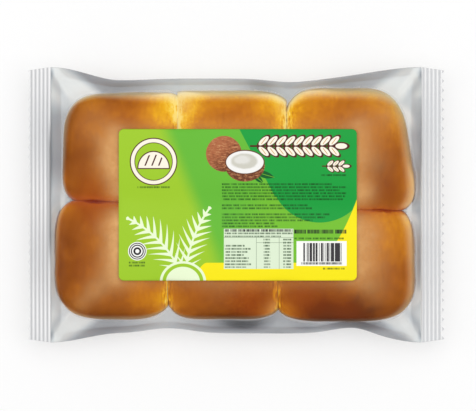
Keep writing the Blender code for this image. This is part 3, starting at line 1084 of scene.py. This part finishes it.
def sealFinish(side):
    # grey bars a pitch apart, painted shade in the crimp's valleys, on a white whose painted sheen
    # dulls and clears slowly along the seal, with a painted grey shade at the inner edge
    wiring = Finish("crimped film, left" if side < 0 else "crimped film, right")
    x, y = wiring.flat(wiring.place())
    out = abs(x) - sealLine
    phase = (out - seals["barAt"][side]) / pack["ridgePitch"]
    stripe = abs(phase - (phase + 0.5).floor())  # 0 at a bar's middle, 0.5 between two bars
    bars = 1.0 - stripe.eased(*seals["barWidth"][side])
    slow = 0.5 + 0.5 * (y * (2 * np.pi / seals["gleamLength"]) + 1.0).sine()
    shade = wiring.mixed(slow, seals["between"][side], seals["white"])
    shade = wiring.mixed(bars, shade, seals["bars"][side])
    inner = (1.0 - out.eased(*seals["innerEnds"])) * seals["innerShade"][side]
    inner = inner * (1.0 - abs(y - seals["innerMiddle"]).eased(*seals["innerFades"]))
    shade = wiring.mixed(inner, shade, seals["innerGrey"])
    clear = wiring.node("ShaderNodeBsdfTransparent")
    return wiring.finished(wiring.layered(seals["opacity"], clear, wiring.coat(shade, *seals["milk"])))


def makeEndSeal(name, side):
    # a sheet at sealHeight from just inside the seal line out to a cut edge, a triangle wave in y
    along, across = seals["steps"]
    start = sealLine - seals["overlap"]
    v = np.linspace(-1.0, 1.0, across)[None, :]
    t = np.linspace(0.0, 1.0, along)[:, None]
    rough = side * (start + t * (pack["length"] / 2 - start))
    y = np.where(v < 0, halfWidth(rough, nearSide), halfWidth(rough, farSide)) * v
    phase = y / seals["toothPitch"]
    wave = 2 * np.abs(phase - np.floor(phase + 0.5))  # 0 at a tooth's tip and 1 at its root
    tip = pack["length"] / 2 - seals["toothDepths"][side] * wave
    x = side * (start + t * (tip - start))
    faces = gridFaces(along, across)
    if side < 0:
        faces = faces[:, ::-1]
    points = listed(x, y, sealHeight(x, y))
    piece = makePiece(name, points, faces.tolist(), sealFinish(side))
    thicken(piece, seals["thickness"], 0.0)


def makeBackSeal(finish):
    # the lengthwise seal folded flat under the pack: a strip with round edges and a slow ripple
    along, around = seals["backSteps"]
    low, high = seals["backHeights"]
    x = np.linspace(-1.0, 1.0, along)[:, None] * (sealLine - seals["backInset"])
    turn = np.linspace(0.0, 2 * np.pi, around, endpoint=False)[None, :]
    power = seals["backPower"]
    flat = (np.abs(np.cos(turn)) ** power + np.abs(np.sin(turn)) ** power) ** (-1.0 / power)
    sway, length = seals["backRipple"]
    y = seals["backHalfWidth"] * np.cos(turn) * flat + sway * np.sin(x / length)
    points = listed(x, y, (low + high) / 2 + (high - low) / 2 * np.sin(turn) * flat)
    faces = gridFaces(along, around, closed=True).tolist()
    faces += [list(range(around))[::-1], list(range((along - 1) * around, along * around))]
    look = {title: np.full(len(points), amount) for title, amount in seals["backLook"].items()}
    makePiece("back_seal", points, faces, finish, look)


# The label

inks = {
    "lime": colour(160, 204, 44),
    "green": colour(104, 188, 56),
    "leafGreen": colour(122, 194, 48),
    "darkGreen": colour(24, 160, 62),
    "leaf": colour(14, 96, 40),
    "yellow": colour(251, 234, 20),
    "pale": colour(224, 240, 212),
    "white": colour(252, 253, 248),
    "softWhite": colour(238, 252, 214),
    "cream": colour(252, 246, 228),
    "maroon": colour(82, 30, 22),
    "brown": colour(176, 104, 66),
    "darkBrown": colour(104, 58, 36),
    "tan": colour(206, 152, 106),
    "gold": colour(214, 148, 58),
    "text": colour(18, 66, 20),
    "black": colour(30, 26, 34),
    "flesh": colour(246, 245, 242),
    "hollow": colour(208, 206, 194),
}

# The print's shapes in millimetres from the label's middle, u to the right and v up. Bands are
# a shape's inks from its edge in: (how far inside, ink)
printed = {
    "edge": 0.16,  # the softness of an edge
    # the greens that the lime turns to: slant in v, where it starts and is full, share and ink
    "limeTurns": ((0.4, -34.0, -20.0, 1.0, "green"), (-0.5, -6.0, 26.0, 0.8, "leafGreen")),
    "hill": (53.0, 20.5, 32.0),  # the dark green disc's middle and radius
    "hillSlope": (1.0, 49.0, 24.1, 5.2),  # the straight side above it, from the top to where it touches
    "shore": (-50.0, -33.0, -20.0, 12.5),  # the yellow's height, and its rise from one u to another
    "sweep": (46.0, 0.0425),  # the u from where it sweeps up as a square, and how fast
    # palm fronds: base, heading, bend radius (left is positive), length and leaflets' reach
    "fronds": ((-36.0, -46.0, 112.0, 70.0, 55.0, 11.5), (-34.0, -46.0, 86.0, -86.0, 50.0, 10.0)),
    "leaflet": (5.2, 0.9, 0.31),  # pitch, slant towards the tip, and half width in pitches
    "leafletGap": 0.2,
    "frondTip": 3.0,  # how steeply the leaflets' reach ends at a frond's tip
    "rib": (0.62, 0.94),  # half width, and the share of the frond's length that it takes
    "mound": (-35.5, -50.0, 15.0, 13.5),
    "moundBands": ((0.0, "softWhite"), (1.5, "lime"), (3.6, "softWhite")),
    "badge": (-54.5, 28.0, 15.4),
    "badgeBands": ((0.0, "maroon"), (0.7, "cream"), (3.0, "maroon"), (3.5, "lime")),
    "plainBun": (23.8, 9.8, 10.4),  # its base, half width and height
    "bunBands": ((-0.7, "maroon"), (0.0, "cream")),
    "scores": (3, 4.4, 0.4, 0.5, 1.5),  # count, pitch, slant, half width and how far inside the bun
    "rings": (-65.0, -30.0, 6.0),
    "ringBands": ((0.0, "white"), (0.6, "black"), (1.2, "white"), (1.8, "black"), (2.55, "white"),
                  (3.45, "black"), (4.7, "white")),
    "wholeNut": (-9.0, 33.0, 11.6),
    "nutLit": (0.7, 0.6, 12.0),  # the light's way in v and against u, and how far it fades
    "huskDark": (1.6, 0.4, -0.6, 0.1, 0.5),  # how the fibre and the light brown the husk
    "huskTan": (0.52, 0.66),  # the fibre that is tan
    "halfNut": (4.6, 27.6, 12.8, 10.2),
    "halfHusk": 2.4,  # how far its husk shows below it
    "ragged": (1.4, 0.8),  # how far the fibre sticks out of the whole nut and the half one
    "halfRings": ((0.0, 2.2, "darkBrown"), (0.7, 2.9, "flesh")),  # how much smaller in u and v
    # the hollow and its bottom: shift in u and v, how much smaller, how uneven, where the ink
    # starts and is full, its share, and the ink
    "hollows": ((-0.4, 0.6, 3.6, 4.9, 1.1, -0.3, 1.0, 1.0, "hollow"),
                (-1.6, 1.4, 6.0, 6.4, 2.2, 0.0, 2.0, 0.5, "flesh")),
    "fibre": (3.4, 4.0, 0.8),  # size, detail and roughness
    "hollowNoise": (5.0, 2.0),
    "fibreTurn": 0.7,
    "fibreScale": (1.0, 4.0, 1.0),
    "sprigVein": (0.15, 0.16),  # how far a leaf's outline is drawn in, and its vein's half width
    "sprig": ((10.5, 21.5, -16.0, 14.0, 2.4), (10.0, 19.6, -40.0, 8.5, 1.9)),
    # ears of wheat: middle, pitch of the grains, their distance from the stem and half height,
    # and the pairs to both sides of the middle
    "ears": ((37.0, 38.0, 5.7, 3.4, 3.1, 4), (62.0, 25.0, 3.6, 1.9, 1.75, 1)),
    "grain": (0.43, 0.75, 0.13),  # half width in pitches, slant, and the dark edge in pitches
    "lastGrain": (1.25, 0.7, 0.62),  # how many pitches past the pairs, its half width and height
    "stem": (0.8, 1.1),  # half width in edges, and how many pitches past the pairs it starts
    "groove": (0.35, 1.2, 0.1),  # half width and inset in edges, and the cream's inset
    "rowsFrom": 14.3,
    "rowRagged": 0.12,
    # blocks of rows: left, right, first row, rows
    "rows": ((-10.3, 70.3, 0, 6), (-10.3, 49.0, 7, 2), (-10.3, 65.0, 10, 2), (-10.3, 52.0, 12, 1),
             (-10.3, 28.0, 13, 2), (54.0, 71.0, -3, 1), (-70.5, -59.0, 26, 2), (55.0, 71.0, 28, 1),
             (-65.0, -44.0, 1, 1), (36.5, 70.5, 18, 1)),
    "heavyRow": (36.5, 71.0, -15.4),
    "rowShift": 3.7,  # of each row of ticks past the one above it
    "runs": (0.80, 0.18),  # a run's least share of its cell, and how much longer it may be
    "strokes": (0.45, 0.55, 0.11),  # a tick's least strength, how much more, and its share of a cell
    # the kinds of ticks: row pitch, a run's cell and the tick's height as a share of the pitch
    "ticks": {
        "small": (1.95, 4.6, 0.62),
        "heavy": (3.9, 9.0, 0.66),
        "table": (2.0, 3.6, 0.56),
        "heading": (2.2, 5.0, 0.75),
        "under": (2.0, 2.1, 0.8),
    },
    "table": (-9.0, 36.0, -41.5, -15.5),
    "rules": (-21.1, -24.5),
    "uprights": (12.0, 26.8),
    "ruleHalf": 0.13,
    # its columns of rows: left, right, how ragged the right ends are, low and high
    "columns": ((-8.4, 3.0, 6.0, -40.7, -25.1), (16.6, 21.0, 0.0, -40.7, -21.5),
                (29.4, 34.6, 0.0, -40.7, -21.5), (-8.4, 36.0, -16.0, -20.9, -17.7)),
    "headingBox": (-8.4, 35.4, -17.5, -15.7),
    # the bars' plaque, and on it the bars and the ticks: left, right, low and high
    "bars": (38.0, 70.4, -39.5, -23.5),
    "barBox": (42.4, 69.0, -36.7, -24.7),
    "underBox": (41.0, 67.4, -38.7, -37.1),
    "barCells": (1.3, 0.43),  # widths of the cells that make wide and thin bars
    "barMix": (0.45, 0.50, 3.0),  # how much the wide ones count, the level, and the sharpness
    "underRow": -36.9,
    "strengths": {"rows": 0.8, "rules": 0.7, "table": 0.9, "bars": 0.97},
    "draws": {"ends": 7.5, "wide": 3.5, "thin": 5.5},
}


class Print:
    # a flat print while it is wired: masks of plain shapes, and the colour painted so far
    def __init__(self, wiring):
        self.wiring = wiring
        self.place = wiring.place()
        x, y = wiring.flat(self.place)
        self.u = x - label["centre"][0]
        self.v = y - label["centre"][1]
        self.shown = inks["lime"]

    def inside(self, distance):
        # a mask from a distance that is positive inside a shape
        return (distance / printed["edge"] + 0.5).clamped()

    def tint(self, mask, ink):
        # mixes an ink over what is painted so far
        self.shown = self.wiring.mixed(mask, self.shown, ink)

    def fill(self, distance, ink):
        self.tint(self.inside(distance), ink)

    def band(self, distance, bands):
        # a shape's inks, each inside the one before
        for inset, ink in printed[bands]:
            self.fill(distance - inset, inks[ink])

    def fromPoint(self, cx, cy):
        # the distance from a point
        return ((self.u - cx) * (self.u - cx) + (self.v - cy) * (self.v - cy)).root()

    def disc(self, cx, cy, r):
        # how far inside a circle
        return r - self.fromPoint(cx, cy)

    def oval(self, cx, cy, rx, ry):
        # about how far inside an ellipse
        p, q = (self.u - cx) / rx, (self.v - cy) / ry
        return (1.0 - (p * p + q * q).root()) * min(rx, ry)

    def box(self, left, right, low, high):
        # how far inside an upright rectangle
        return (self.u - left).least(right - self.u).least((self.v - low).least(high - self.v))

    def joined(self, distances):
        # how far inside any of several shapes
        most = distances[0]
        for distance in distances[1:]:
            most = most.most(distance)
        return most

    def pick(self, cellU, cellV):
        # a random number for each cell
        both = self.wiring.node("ShaderNodeCombineXYZ", None, {0: cellU, 1: cellV})
        return self.wiring.node("ShaderNodeTexWhiteNoise", {"noise_dimensions": "2D"}, {"Vector": both})

    def ragged(self, kind, high):
        # a random number for each row of ticks
        row = ((high - self.v) / printed["ticks"][kind][0]).floor()
        return self.pick(row, printed["draws"]["ends"])

    def ticks(self, kind, high):
        # rows of ticks of random strength, in runs of random lengths
        pitch, run, thick = printed["ticks"][kind]
        row = ((high - self.v) / pitch).floor()
        across = (high - self.v) / pitch - row
        shifted = self.u + row * printed["rowShift"]
        cell = (shifted / run).floor()
        share = shifted / run - cell
        shortest, longer = printed["runs"]
        weakest, stronger, width = printed["strokes"]
        length = shortest + longer * self.pick(cell, row)
        strength = weakest + stronger * self.pick((shifted / (run * width)).floor(), row + 0.5)
        inRow = self.inside((thick / 2 - abs(across - 0.5)) * pitch)
        return self.inside((length - share) * run) * inRow * strength


def paintFields(art):
    # lime turning to two greens along slants, a dark green disc with a straight side, and yellow
    # under a shore that sweeps up to the right as a square
    u, v = art.u, art.v
    for slant, low, high, share, ink in printed["limeTurns"]:
        art.tint((u + v * slant).eased(low, high) * share, inks[ink])
    topU, topV, lowU, lowV = printed["hillSlope"]
    run = float(np.hypot(lowU - topU, topV - lowV))
    beyond = ((u - topU) * (topV - lowV) - (topV - v) * (lowU - topU)) / run
    art.fill(art.disc(*printed["hill"]).most(beyond.least(v - lowV)), inks["darkGreen"])
    start, low, high, climb = printed["shore"]
    sweepFrom, sweep = printed["sweep"]
    past = (u - sweepFrom).most(0.0)
    art.fill(u.eased(low, high) * climb + past * past * sweep + start - v, inks["yellow"])


def paintFronds(art):
    # two palm fronds in white from behind a mound: along a circular rib, p from its base and q
    # from its middle, leaflets are slanted stripes that narrow to their tips, and they reach out
    # as a half oval does, cut to a point at the frond's tip
    least = 0.01  # keeps their reach above 0
    pitch, slant, share = printed["leaflet"]
    ribHalf, ribShare = printed["rib"]
    for baseU, baseV, heading, bend, length, reach in printed["fronds"]:
        turn = np.radians(heading)
        radius = abs(bend)
        centreU, centreV = baseU - bend * float(np.sin(turn)), baseV + bend * float(np.cos(turn))
        outU, outV = (baseU - centreU) / radius, (baseV - centreV) / radius
        u, v = art.u - centreU, art.v - centreV
        ahead = (v * outU - u * outV) * float(np.sign(bend))
        p = ahead.math("ARCTAN2", u * outU + v * outV) * radius
        q = abs(art.fromPoint(centreU, centreV) - radius)
        s = (p / length).clamped()
        leafReach = (s * (1.0 - s) * 4.0).root().least((1.0 - s) * printed["frondTip"]) * reach + least
        step = (p - q * slant) / pitch
        stripe = abs(step - (step + 0.5).floor()) * pitch
        width = (1.0 - q / leafReach) * (share * pitch)
        art.fill((width - stripe).least(leafReach - q - printed["leafletGap"]), inks["softWhite"])
        art.fill((ribHalf - q).least(p).least(length * ribShare - p), inks["softWhite"])
    art.band(art.oval(*printed["mound"]), "moundBands")


def paintBadge(art):
    # a cream ring with maroon edges round a plain cream bun with three slanted scores
    cx, cy, r = printed["badge"]
    art.band(art.disc(cx, cy, r), "badgeBands")
    base, halfWide, tall = printed["plainBun"]
    dome = art.oval(cx, base, halfWide, tall).least(art.v - base)
    art.band(dome, "bunBands")
    count, pitch, slant, half, inset = printed["scores"]
    slanted = (art.u - cx - (art.v - cy) * slant) / pitch
    score = half - abs(slanted - (slanted + 0.5).floor()) * pitch
    art.fill(score.least(dome - inset).least((count / 2 - abs(slanted)) * pitch), inks["maroon"])


def paintRings(art):
    # a small target of plain rings
    art.band(art.disc(*printed["rings"]), "ringBands")


def paintCoconuts(art):
    # two leaves, a whole nut with a fibrous husk, and an opened half in front of it
    wiring, u, v = art.wiring, art.u, art.v
    inset, vein = printed["sprigVein"]
    for baseU, baseV, heading, length, halfWide in printed["sprig"]:
        cos, sin = float(np.cos(np.radians(heading))), float(np.sin(np.radians(heading)))
        t = (((u - baseU) * cos + (v - baseV) * sin) / length).clamped()
        q = abs((v - baseV) * cos - (u - baseU) * sin)
        depth = t * (1.0 - t) * (4.0 * halfWide) - q - inset
        art.fill(depth, inks["leaf"])
        art.fill((vein - q).least(depth), inks["leafGreen"])
    turned = wiring.node("ShaderNodeMapping", None, {
        "Vector": art.place,
        "Rotation": (0.0, 0.0, printed["fibreTurn"]),
        "Scale": printed["fibreScale"],
    })
    fibre = wiring.noise(turned, *printed["fibre"])
    wholeRagged, halfRagged = printed["ragged"]
    cx, cy, r = printed["wholeNut"]
    litV, litU, reach = printed["nutLit"]
    lit = ((v - cy) * litV - (u - cx) * litU).eased(-reach, reach)
    byFibre, byLight, level, low, high = printed["huskDark"]
    brown = (fibre * byFibre + lit * byLight + level).eased(low, high)
    husk = wiring.mixed(brown, inks["darkBrown"], inks["brown"])
    husk = wiring.mixed(fibre.eased(*printed["huskTan"]), husk, inks["tan"])
    art.fill(art.disc(cx, cy, r) + (fibre - 0.5) * wholeRagged, husk)
    cx, cy, rx, ry = printed["halfNut"]
    art.fill(art.oval(cx, cy - printed["halfHusk"], rx, ry) + (fibre - 0.5) * halfRagged, husk)
    for lessU, lessV, ink in printed["halfRings"]:
        art.fill(art.oval(cx, cy, rx - lessU, ry - lessV), inks[ink])
    uneven = wiring.noise(art.place, *printed["hollowNoise"]) - 0.5
    for shiftU, shiftV, lessU, lessV, rough, low, high, share, ink in printed["hollows"]:
        depth = art.oval(cx + shiftU, cy + shiftV, rx - lessU, ry - lessV) + uneven * rough
        art.tint(depth.eased(low, high) * share, inks[ink])


def paintEars(art):
    # ears of wheat lying along u: pairs of slanted cream grains on both sides of a stem
    wide, slant, thin = printed["grain"]
    past, lastWide, lastTall = printed["lastGrain"]
    stemHalf, stemPast = printed["stem"]
    grooveHalf, grooveIn, creamIn = printed["groove"]
    for cx, cy, pitch, aside, halfHeight, count in printed["ears"]:
        side = abs(art.v - cy)
        along = (art.u - cx - side * slant) / pitch
        cell = (along + 0.5).floor()
        across = (along - cell) * pitch
        p, q = across / (pitch * wide), (side - aside) / halfHeight
        grain = (1.0 - (p * p + q * q).root()) * (pitch * wide)
        inPairs = (count + 0.5 - abs(cell)) * pitch
        end = cx + (count + past) * pitch
        grain = grain.least(inPairs).most(art.oval(end, cy, pitch * lastWide, halfHeight * lastTall))
        line = pitch * thin
        start = cx - (count + stemPast) * pitch
        stem = (line * stemHalf - side).least(art.u - start).least(end - art.u)
        art.fill((grain + line).most(stem), inks["maroon"])
        art.fill(grain - creamIn, inks["cream"])
        groove = (line * grooveHalf - abs(across)).least(grain - line * grooveIn)
        art.fill(groove.least(inPairs), inks["gold"])


def paintRows(art):
    # blocks of rows of ticks, with ragged right ends, and one row of heavier ones
    top, strength = printed["rowsFrom"], printed["strengths"]["rows"]
    pitch = printed["ticks"]["small"][0]
    ragged = art.ragged("small", top) * printed["rowRagged"]
    blocks = []
    for left, right, first, count in printed["rows"]:
        high = top - first * pitch
        blocks.append(art.box(left, right - ragged * (right - left), high - count * pitch, high))
    art.tint(art.ticks("small", top) * art.inside(art.joined(blocks)) * strength, inks["text"])
    left, right, high = printed["heavyRow"]
    block = art.box(left, right, high - printed["ticks"]["heavy"][0], high)
    art.tint(art.ticks("heavy", high) * art.inside(block), inks["black"])


def paintTable(art):
    # a ruled panel: a heading, two rules, two uprights and four columns of small rows
    left, right, low, high = printed["table"]
    u, v, half = art.u, art.v, printed["ruleHalf"]
    panel = art.box(left, right, low, high)
    art.fill(panel, inks["pale"])
    (firstRule, secondRule), (firstUpright, secondUpright) = printed["rules"], printed["uprights"]
    rules = (half - abs(v - firstRule)).most((half - abs(v - secondRule)).least(u - firstUpright))
    uprights = (half - abs(u - firstUpright)).most(half - abs(u - secondUpright)).least(firstRule - v)
    strengths = printed["strengths"]
    art.tint(art.inside(rules.most(uprights).least(panel)) * strengths["rules"], inks["text"])
    ragged = art.ragged("table", high)
    columns = [art.box(columnLeft, columnRight + ragged * loose, columnLow, columnHigh)
               for columnLeft, columnRight, loose, columnLow, columnHigh in printed["columns"]]
    rows = art.inside(art.joined(columns)) * art.ticks("table", high)
    art.tint(rows * strengths["table"], inks["text"])
    heading = art.inside(art.box(*printed["headingBox"]))
    art.tint(heading * art.ticks("heading", high), inks["black"])


def paintBars(art):
    # a white plaque of plain upright bars of random widths, over a row of ticks
    art.fill(art.box(*printed["bars"]), inks["white"])
    wideCell, thinCell = printed["barCells"]
    draws = printed["draws"]
    wide = art.pick((art.u / wideCell).floor(), draws["wide"])
    thin = art.pick((art.u / thinCell).floor(), draws["thin"])
    weight, level, sharpness = printed["barMix"]
    stripe = art.inside((wide * weight + thin - level) * sharpness) * printed["strengths"]["bars"]
    art.tint(stripe * art.inside(art.box(*printed["barBox"])), inks["black"])
    under = art.inside(art.box(*printed["underBox"]))
    art.tint(under * art.ticks("under", printed["underRow"]), inks["black"])


def labelFinish():
    # the print in layers, from its fields to the bars, under a thin gloss
    wiring = Finish("printed label")
    art = Print(wiring)
    for paint in (paintFields, paintFronds, paintBadge, paintRings, paintCoconuts, paintEars, paintRows,
                  paintTable, paintBars):
        paint(art)
    least, more, size = label["roughness"]
    roughness = least + more * wiring.noise(art.place, size)
    return wiring.finished(wiring.coat(art.shown, roughness, label["specular"]))


def makeLabel():
    # a sheet a gap above the film: x runs the label's length, y its width less the round
    # corners' inset, r - sqrt(r^2 - (r - d)^2) where d is the distance from the end
    along, across = label["steps"]
    half, halfWide, r = label["length"] / 2, label["width"] / 2, label["corner"]
    corner = half - r + r * np.sin(np.linspace(0.0, np.pi / 2, label["cornerSteps"]))
    x = np.concatenate([-corner[::-1], np.linspace(-half + r, half - r, along)[1:-1], corner])
    inset = r - np.sqrt(np.maximum(0.0, r**2 - np.maximum(0.0, np.abs(x) - (half - r)) ** 2))
    y = (halfWide - inset)[:, None] * np.linspace(-1.0, 1.0, across)[None, :] + label["centre"][1]
    x = x[:, None] + label["centre"][0]
    points = listed(x, y, topHeight(x, y) + label["gap"])
    faces = gridFaces(len(x), across).tolist()
    piece = makePiece("printed_label", points, faces, labelFinish())
    thicken(piece, label["thickness"], 1.0)
    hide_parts("label")
    print("label made")


# The studio

studio = {
    "mmPerPixel": 0.65,
    "middlePixel": (236.25, 204.8),  # where the pack's middle lies in the picture
    "lens": 600.0,
    "sensor": 36.0,
    "clipEnd": 20.0,
    "world": 0.68,
    "white": colour(255, 255, 255),
    "floorTints": (colour(188, 188, 188), colour(191, 191, 191)),
    "floorGlow": 0.47,  # a lit table, so the pack's shadow stays faint
    "floorGap": 0.1,
    "floorHalf": 4.0,
    "floorMottle": 400.0,
    "floorCoat": (0.8, 0.2),  # roughness and specular
    "aim": (0.0, 0.0, 0.02),
    "lights": {  # place and size in metres, and power
        "overhead": ((0.10, 0.60, 1.5), 1.5, 6.5),
        "left strip": ((-0.90, 0.05, 1.0), 0.9, 2.2),
        "right strip": ((0.90, -0.05, 1.0), 0.9, 2.2),
    },
}


def makeFloor():
    # a pale square far wider than the picture, just under the pack
    half, z = studio["floorHalf"], -studio["floorGap"] * mm
    floorMesh = bpy.data.meshes.new("floor")
    corners = [(-half, -half, z), (half, -half, z), (half, half, z), (-half, half, z)]
    floorMesh.from_pydata(corners, [], [(0, 1, 2, 3)])
    floor = bpy.data.objects.new("floor", floorMesh)
    bpy.context.scene.collection.objects.link(floor)
    wiring = Finish("pale floor")
    tint = wiring.mixed(wiring.noise(wiring.place(), studio["floorMottle"]), *studio["floorTints"])
    glow = {"Emission Color": studio["white"], "Emission Strength": studio["floorGlow"]}
    floorMesh.materials.append(wiring.finished(wiring.coat(tint, *studio["floorCoat"], glow)))


def makeLights():
    # square lamps that face the pack, and an even white world
    for name, (place, size, power) in studio["lights"].items():
        data = bpy.data.lights.new(name, "AREA")
        data.shape = "SQUARE"
        data.size = size
        data.energy = power
        lamp = bpy.data.objects.new(name, data)
        lamp.location = place
        awayX, awayY, awayZ = np.array(place) - np.array(studio["aim"])
        tilt = float(np.arctan2(np.hypot(awayX, awayY), awayZ))
        lamp.rotation_euler = (tilt, 0.0, float(np.arctan2(awayX, -awayY)))
        bpy.context.scene.collection.objects.link(lamp)
    world = bpy.data.worlds.new("studio")
    world.use_nodes = True
    backdrop = world.node_tree.nodes["Background"]
    backdrop.inputs["Color"].default_value = studio["white"]
    backdrop.inputs["Strength"].default_value = studio["world"]
    bpy.context.scene.world = world
    bpy.context.scene.view_settings.view_transform = "Standard"


def makeCamera():
    # straight down, far off, so that the picture's width takes in its own width at the pack's outline
    scale = studio["mmPerPixel"] * mm
    aimX = (imageSize[0] / 2 - studio["middlePixel"][0]) * scale
    aimY = (studio["middlePixel"][1] - imageSize[1] / 2) * scale
    distance = imageSize[0] * scale * studio["lens"] / studio["sensor"]
    data = bpy.data.cameras.new("camera")
    data.lens = studio["lens"]
    data.sensor_width = studio["sensor"]
    data.clip_end = studio["clipEnd"]
    camera = bpy.data.objects.new("camera", data)
    camera.location = (aimX, aimY, pack["widestHeight"] * mm + distance)
    bpy.context.scene.collection.objects.link(camera)
    bpy.context.scene.camera = camera


makeFloor()
makeLights()
makeCamera()
print("studio made")
outlines = makeBuns()
clearFilm = filmFinish()
makeFilm(clearFilm, outlines)
makeEndSeal("end_seal_left", -1)
makeEndSeal("end_seal_right", 1)
makeBackSeal(clearFilm)
print("seals made")
makeLabel()
